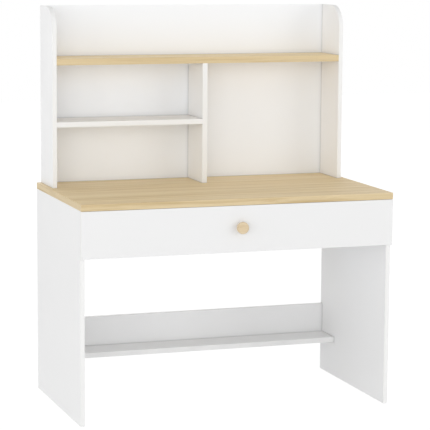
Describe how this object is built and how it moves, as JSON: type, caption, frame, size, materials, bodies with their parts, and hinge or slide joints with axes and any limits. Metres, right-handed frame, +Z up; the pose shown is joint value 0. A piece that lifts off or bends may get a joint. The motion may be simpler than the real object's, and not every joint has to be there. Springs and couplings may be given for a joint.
{
  "type": "student desk with hutch",
  "caption": "Panel desk with a full-width drawer on roller runners, a foot rail, and an open hutch with an oak-finish shelf, a divider and a small shelf.",
  "frame": {"origin": "on the floor, under the middle of the desk's box from the knob's face to the back edges", "axes": "+X along the desk to its right end, +Y to the back, +Z up"},
  "size_m": [1.1, 0.625, 1.36],
  "materials": {
    "white_board": "white melamine with a slight satin sheen",
    "oak_finish": "pale oak-grain melamine, matt",
    "back_hardboard": "white-faced hardboard",
    "drawer_board": "white melamine",
    "drawer_hardboard": "white-faced hardboard",
    "softwood": "bare planed softwood",
    "knob_wood": "matt oiled wood",
    "beech": "bare",
    "zinc_steel": "zinc-plated",
    "zinc_casting": "die-cast zinc",
    "runner_steel": "white epoxy coat",
    "nylon": "natural nylon"
  },
  "bodies": {
    "carcass": {"desktop": "oak_finish", "left_leg": "white_board", "right_leg": "white_board", "back_apron": "white_board", "lower_rail": "white_board", "foot_board": "white_board", "hutch_left_side": "white_board", "hutch_right_side": "white_board", "oak_shelf": "oak_finish", "divider": "white_board", "small_shelf": "white_board", "back_panel": "back_hardboard", "left_cabinet_runner": "runner_steel", "right_cabinet_runner": "runner_steel", "cabinet_roller_rivets": "zinc_steel", "cam_bolts": "zinc_steel", "cam_locks": "zinc_casting", "dowels": "beech", "confirmat_screws": "zinc_steel", "runner_screws": "zinc_steel", "back_panel_screws": "zinc_steel"},
    "drawer": {"drawer_front": "white_board", "drawer_left_side": "drawer_board", "drawer_right_side": "drawer_board", "drawer_back": "drawer_board", "drawer_bottom": "drawer_hardboard", "drawer_brace": "softwood", "drawer_knob": "knob_wood", "knob_screw": "zinc_steel", "left_drawer_runner": "runner_steel", "right_drawer_runner": "runner_steel", "drawer_roller_rivets": "zinc_steel", "drawer_cam_bolts": "zinc_steel", "drawer_cam_locks": "zinc_casting", "drawer_dowels": "beech", "drawer_runner_screws": "zinc_steel"},
    "left_cabinet_roller": {"left_cabinet_roller": "nylon"},
    "right_cabinet_roller": {"right_cabinet_roller": "nylon"},
    "left_drawer_roller": {"left_drawer_roller": "nylon"},
    "right_drawer_roller": {"right_drawer_roller": "nylon"}
  },
  "joints": [
    {"name": "drawer_slide", "type": "slide", "parent": "carcass", "child": "drawer", "axis": [0, -1, 0], "range_m": [0, 0.34]},
    {"name": "left_cabinet_roller_turn", "type": "hinge", "parent": "carcass", "child": "left_cabinet_roller", "pos_m": [-0.5288, -0.2555, 0.5843], "axis": [1, 0, 0], "continuous": true},
    {"name": "right_cabinet_roller_turn", "type": "hinge", "parent": "carcass", "child": "right_cabinet_roller", "pos_m": [0.5288, -0.2555, 0.5843], "axis": [1, 0, 0], "continuous": true},
    {"name": "left_drawer_roller_turn", "type": "hinge", "parent": "drawer", "child": "left_drawer_roller", "pos_m": [-0.5287, 0.1635, 0.5843], "axis": [1, 0, 0], "continuous": true},
    {"name": "right_drawer_roller_turn", "type": "hinge", "parent": "drawer", "child": "right_drawer_roller", "pos_m": [0.5287, 0.1635, 0.5843], "axis": [1, 0, 0], "continuous": true}
  ],
  "couplings": [
    {"joint": "left_cabinet_roller_turn", "follows": "drawer_slide", "rad_per_m": 100},
    {"joint": "right_cabinet_roller_turn", "follows": "drawer_slide", "rad_per_m": 100},
    {"joint": "left_drawer_roller_turn", "follows": "drawer_slide", "rad_per_m": 100},
    {"joint": "right_drawer_roller_turn", "follows": "drawer_slide", "rad_per_m": 100}
  ]
}
